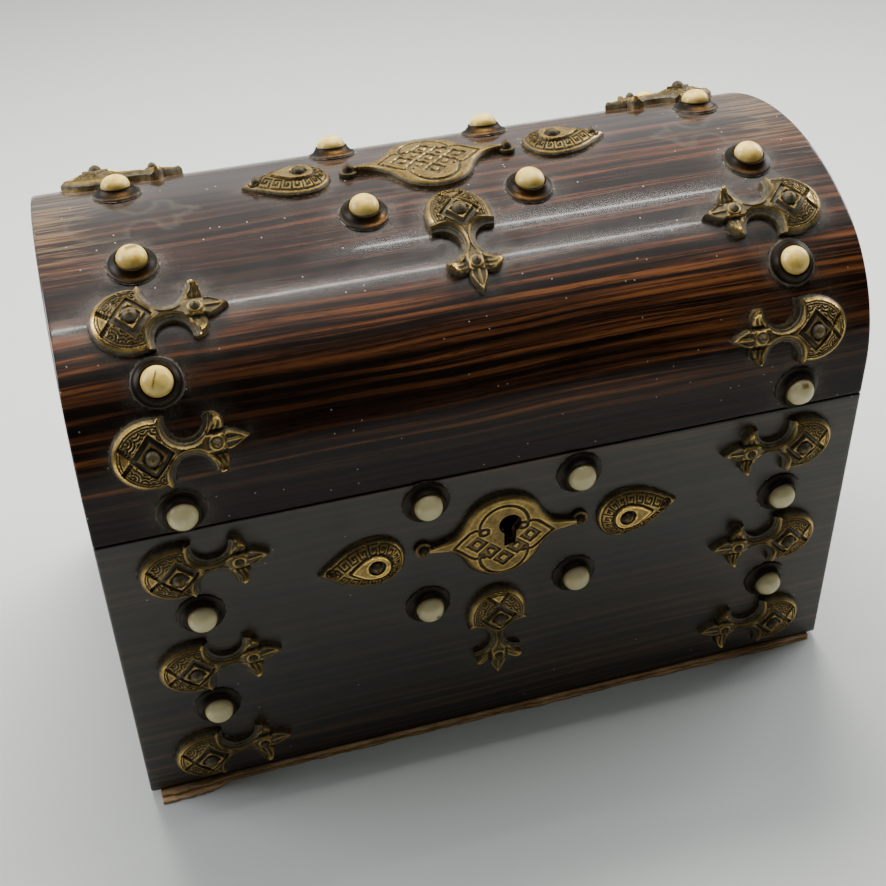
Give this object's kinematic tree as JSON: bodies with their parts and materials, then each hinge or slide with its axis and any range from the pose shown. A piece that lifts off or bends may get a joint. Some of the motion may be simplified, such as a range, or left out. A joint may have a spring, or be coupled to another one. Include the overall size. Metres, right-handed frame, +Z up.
{
  "type": "treasure box",
  "caption": "Dome-topped hinged wooden casket in dark striped veneer, with cast strap mounts, a keyhole plate and bone studs.",
  "frame": {"origin": "centre of the underside, on the surface that the box stands on", "axes": "+X along the width to the right seen from the front, +Y from the front to the hinged back, +Z up"},
  "size_m": [0.23, 0.1466, 0.1718],
  "materials": {
    "striped_wood": "polished veneer, black-brown with orange-brown stripes, hazed and worn",
    "cast_mount": "cast brass with worn gilt and dark patina in the recesses",
    "hinge_brass": "dulled plain brass",
    "bone_stud": "polished bone dome in a dark brass collar",
    "base_sheet": "torn, frayed tan sheet"
  },
  "bodies": {
    "case": {"case": "striped_wood", "base_cover": "base_sheet", "hinge_left_case_leaf": "hinge_brass", "hinge_right_case_leaf": "hinge_brass", "strap_mount_case_left_1": "cast_mount", "strap_mount_case_left_2": "cast_mount", "strap_mount_case_left_3": "cast_mount", "strap_mount_case_right_1": "cast_mount", "strap_mount_case_right_2": "cast_mount", "strap_mount_case_right_3": "cast_mount", "stud_case_left_1": "bone_stud", "stud_case_left_2": "bone_stud", "stud_case_right_1": "bone_stud", "stud_case_right_2": "bone_stud", "stud_case_centre_left_1": "bone_stud", "stud_case_centre_left_2": "bone_stud", "stud_case_centre_right_1": "bone_stud", "stud_case_centre_right_2": "bone_stud", "teardrop_case_left": "cast_mount", "teardrop_case_right": "cast_mount", "fan_mount_case": "cast_mount", "escutcheon": "cast_mount"},
    "lid": {"lid": "striped_wood", "hinge_left_lid_leaf": "hinge_brass", "hinge_right_lid_leaf": "hinge_brass", "strap_mount_lid_left_1": "cast_mount", "strap_mount_lid_left_2": "cast_mount", "strap_mount_lid_left_4": "cast_mount", "strap_mount_lid_left_5": "cast_mount", "strap_mount_lid_right_1": "cast_mount", "strap_mount_lid_right_2": "cast_mount", "strap_mount_lid_right_4": "cast_mount", "strap_mount_lid_right_5": "cast_mount", "stud_lid_left_1": "bone_stud", "stud_lid_left_2": "bone_stud", "stud_lid_left_3": "bone_stud", "stud_lid_left_4": "bone_stud", "stud_lid_left_5": "bone_stud", "stud_lid_left_6": "bone_stud", "stud_lid_right_1": "bone_stud", "stud_lid_right_2": "bone_stud", "stud_lid_right_3": "bone_stud", "stud_lid_right_4": "bone_stud", "stud_lid_right_5": "bone_stud", "stud_lid_right_6": "bone_stud", "stud_lid_centre_left_1": "bone_stud", "stud_lid_centre_left_2": "bone_stud", "stud_lid_centre_right_1": "bone_stud", "stud_lid_centre_right_2": "bone_stud", "teardrop_lid_left": "cast_mount", "teardrop_lid_right": "cast_mount", "fan_mount_lid": "cast_mount", "lid_plate": "cast_mount"}
  },
  "joints": [
    {"name": "lid_hinge", "type": "hinge", "parent": "case", "child": "lid", "pos_m": [0, 0.07015, 0.1033], "axis": [-1, 0, 0], "range_deg": [0, 100]}
  ]
}
